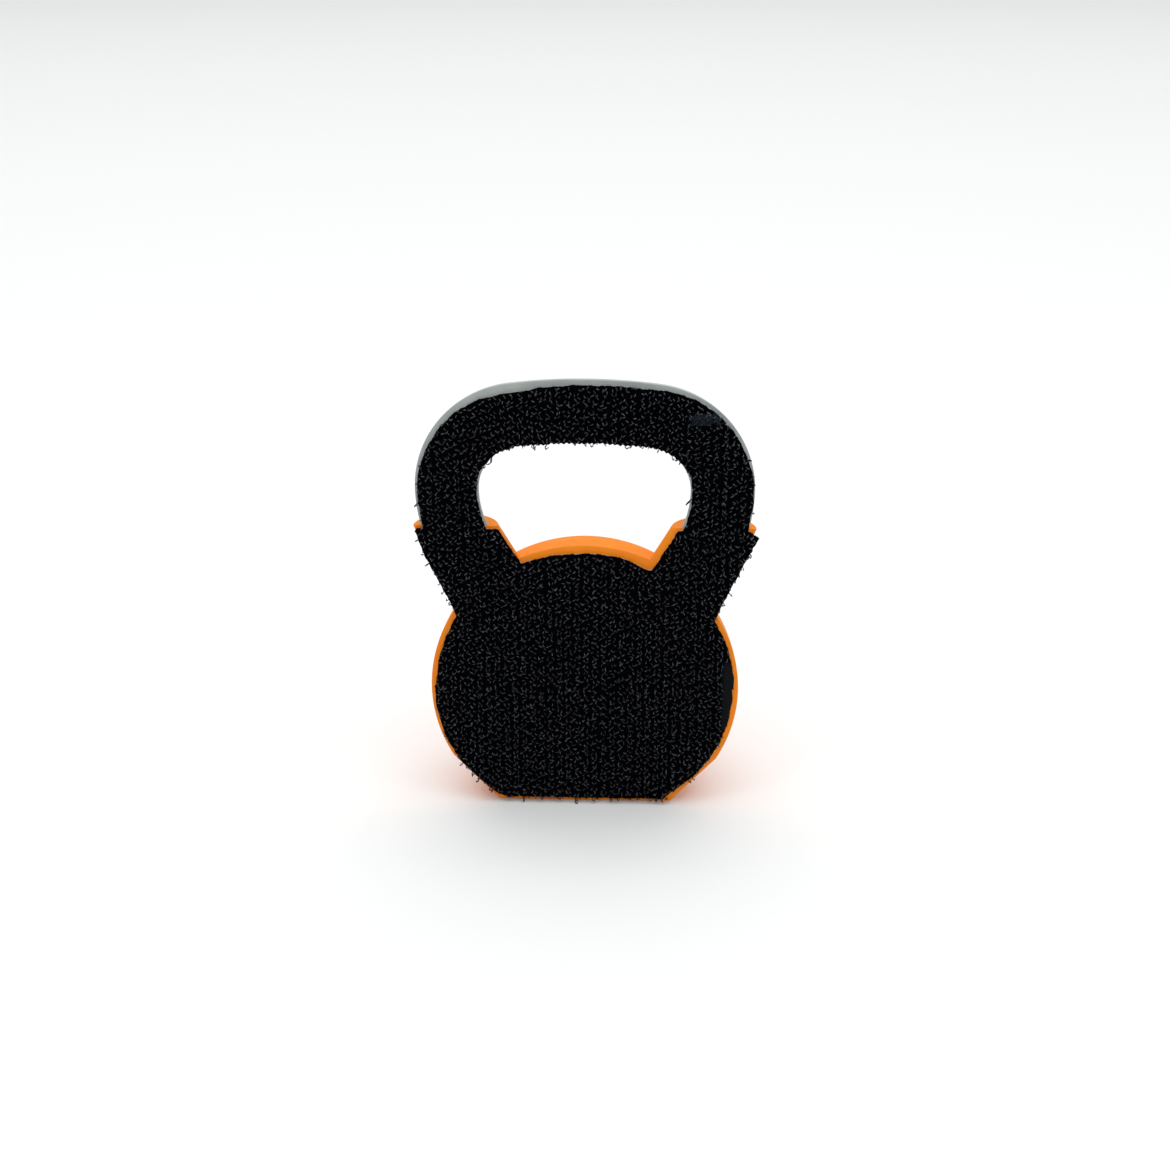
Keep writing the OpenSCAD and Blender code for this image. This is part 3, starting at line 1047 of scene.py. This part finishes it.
def frayed(name, x, z, seed):
    """Loose ends of yarn along a top edge, each a thin bent thread."""
    rng = np.random.default_rng(seed)
    count = len(x)
    length = rng.uniform(*THREAD_LENGTH, count)
    swing = rng.normal(0, THREAD_SWING, count)
    rise = rng.uniform(*THREAD_RISE, count)
    k = np.linspace(0, 1, THREAD_STEPS)[None, :]
    curl = rng.normal(0, THREAD_CURL, (count, 1)) * np.sin(k * math.pi)
    along = length[:, None] * k
    px = x[:, None] + along * swing[:, None] + curl
    pz = z[:, None] + along
    depth = -(FILM_T + 0.6 * GROUND_T) - 0.8 * rise[:, None] * along**0.7
    depth = np.maximum(depth, 0.05 - (FILM_T + GROUND_T + HOOK_H))
    paths = np.stack([px, depth, pz], axis=2)
    across = np.repeat(np.array([[0.0, 1.0, 0.0]]), count, axis=0)
    thick = np.repeat(rng.uniform(*THREAD_R, (count, 1)), k.size, axis=1)
    verts, faces = tubes(paths, across, thick, THIN_SIDES)
    return mesh_object(name, verts, faces, GROUND)


def on_handle(x, z):
    return z > COLLAR_Z - 0.3


def left_of_ball(x, z):
    return ~on_handle(x, z) & (x < 0)


def right_of_ball(x, z):
    return ~on_handle(x, z) & (x >= 0)


# ------------------------------------------------------------ all the pieces

FILM_CELL = 0.5
FILM_INSET = 0.03
ROUGH_EDGE = 0.07
EDGE_SEED, HOOK_SEED = 3, 11
SPOT_SEED, TOP_SEED, FRAY_SEED = 5, 7, 6
THREADS = 220

PIECES = (
    # name, cut, and the flat width and length of the piece's box in metres, no side given as
    # less than 10 mm
    ("main", main_cut, (0.0600, 0.0568)),
    ("lower", lower_cut, (0.0538, 0.0225)),
    ("patch", patch_cut, (0.0100, 0.0188)),
    ("strip", strip_cut, (0.0100, 0.0188)),
)

for obj, node, slot in ((body, "body", "orange_print"), (handle, "handle", "grey_print")):
    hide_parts(node)
    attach(obj, "root")

for number, (piece, cut, flat) in enumerate(PIECES):
    film_cut = Cutter(lambda x, z, c=cut: c(x, z) - FILM_INSET, FILM_CELL, FILM_CELL)
    film = slab(piece + "_film_sheet", film_cut, -FILM_T, 0.0, FILM)
    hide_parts(piece + "_film")
    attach(film, "root")

    cutter = Cutter(cut, CELL_X, CELL_Z, rough=ROUGH_EDGE, seed=number + EDGE_SEED)
    woven = slab(piece + "_weave", cutter, -(FILM_T + GROUND_T), -FILM_T, GROUND, weave)
    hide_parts(piece + "_tape")
    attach(woven, "root")

    if piece == "main":
        hooks = [
            hooks_on("main_hooks_handle", cut, HOOK_SEED, part=on_handle),
            hooks_on("main_hooks_left", cut, HOOK_SEED, part=left_of_ball),
            hooks_on("main_hooks_right", cut, HOOK_SEED, part=right_of_ball),
        ]
    else:
        hooks = [hooks_on(piece + "_hook_rows", cut, HOOK_SEED + number)]
    for obj in hooks:
        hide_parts(piece + "_hooks")
        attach(obj, "root")
    if piece == "patch":
        spot_rng, top_rng = np.random.default_rng(SPOT_SEED), np.random.default_rng(TOP_SEED)
        spots = spot_rng.uniform(PATCH_X + 0.4, STRIP_X - 1.4, THREADS)
        tops = PATCH_TOP_Z + top_rng.uniform(-0.5, 0.9, THREADS)
        fray = frayed("patch_fray", spots, tops, FRAY_SEED)
        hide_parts("patch_tape")
        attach(fray, "root")
        hooks.append(fray)

# --------------------------------------------------------- floor, light, lens


def plain(name, colour, roughness):
    """Plain paper, with the faintest change of tone."""
    n = Nodes(name)
    tone = n.noise(3.0, 2.0)
    pale = tuple(min(c * 1.004, 1.0) for c in colour)
    n.plug("Base Color", n.ramp(tone, (0.3, colour), (0.7, pale)))
    n.set(Roughness=roughness)
    return n.mat


REACH = 9.0
floor_mesh = bpy.data.meshes.new("floor")
floor_mesh.from_pydata(
    [(-REACH, -REACH, 0), (REACH, -REACH, 0), (REACH, REACH, 0), (-REACH, REACH, 0)],
    [],
    [(0, 1, 2, 3)],
)
floor = bpy.data.objects.new("floor", floor_mesh)
floor_mesh.materials.append(plain("floor_paper", (0.857, 0.868, 0.86), 0.7))
bpy.context.scene.collection.objects.link(floor)

scene = bpy.context.scene
scene.view_settings.view_transform = "Standard"
scene.view_settings.look = "None"
scene.view_settings.exposure = 0.0

SKY_COLOUR, SKY_STRENGTH = (0.97, 0.985, 1.0, 1.0), 0.5

world = bpy.data.worlds.new("studio")
scene.world = world
world.use_nodes = True
sky = world.node_tree.nodes["Background"].inputs
sky["Color"].default_value = SKY_COLOUR
sky["Strength"].default_value = SKY_STRENGTH


def softbox(name, place, aim, size, power):
    """A rectangular lamp at a place, turned to its aim. Metres and watts."""
    data = bpy.data.lights.new(name, "AREA")
    data.shape = "RECTANGLE"
    data.size, data.size_y = size
    data.energy = power
    light = bpy.data.objects.new(name, data)
    light.location = place
    way = Vector(aim) - Vector(place)
    light.rotation_euler = way.to_track_quat("-Z", "Y").to_euler()
    scene.collection.objects.link(light)


softbox("overhead", (0, -0.25, 1.4), (0, -0.2, 0), (1.6, 1.4), 11.7)
softbox("far_floor", (0, 1.5, 1.5), (0, 1.4, 0), (4.0, 2.2), 23.0)
softbox("front", (0.1, -1.2, 1.1), (0, 0, 0.03), (1.2, 0.8), 2.0)
softbox("glint_left", (-0.28, -0.3, 0.62), (0, 0, 0.04), (0.11, 0.11), 0.24)
softbox("glint_right", (0.3, -0.25, 0.6), (0, 0, 0.04), (0.11, 0.11), 0.24)

# The camera's distance from the ball's centre, how high and how far to the right it
# stands, and how far it looks down and to the left.
CAMERA_DISTANCE = 320.0
CAMERA_RISE = math.radians(25.5)
CAMERA_SIDE = math.radians(2.0)
CAMERA_PITCH = math.radians(22.155)
CAMERA_PAN = math.radians(1.982)
SENSOR_WIDTH, LENS = 36.0, 54.756
NEAR_CLIP, FAR_CLIP = 0.01, 50.0

data = bpy.data.cameras.new("camera")
data.sensor_width = SENSOR_WIDTH
data.lens = LENS
data.clip_start, data.clip_end = NEAR_CLIP, FAR_CLIP
camera = bpy.data.objects.new("camera", data)
away = CAMERA_DISTANCE * math.cos(CAMERA_RISE)
camera.location = (
    away * math.sin(CAMERA_SIDE) * MM,
    (FLAT_Y - away * math.cos(CAMERA_SIDE)) * MM,
    (BALL_Z + CAMERA_DISTANCE * math.sin(CAMERA_RISE)) * MM,
)
camera.rotation_euler = (math.pi / 2 - CAMERA_PITCH, 0.0, CAMERA_PAN)
scene.collection.objects.link(camera)
scene.camera = camera
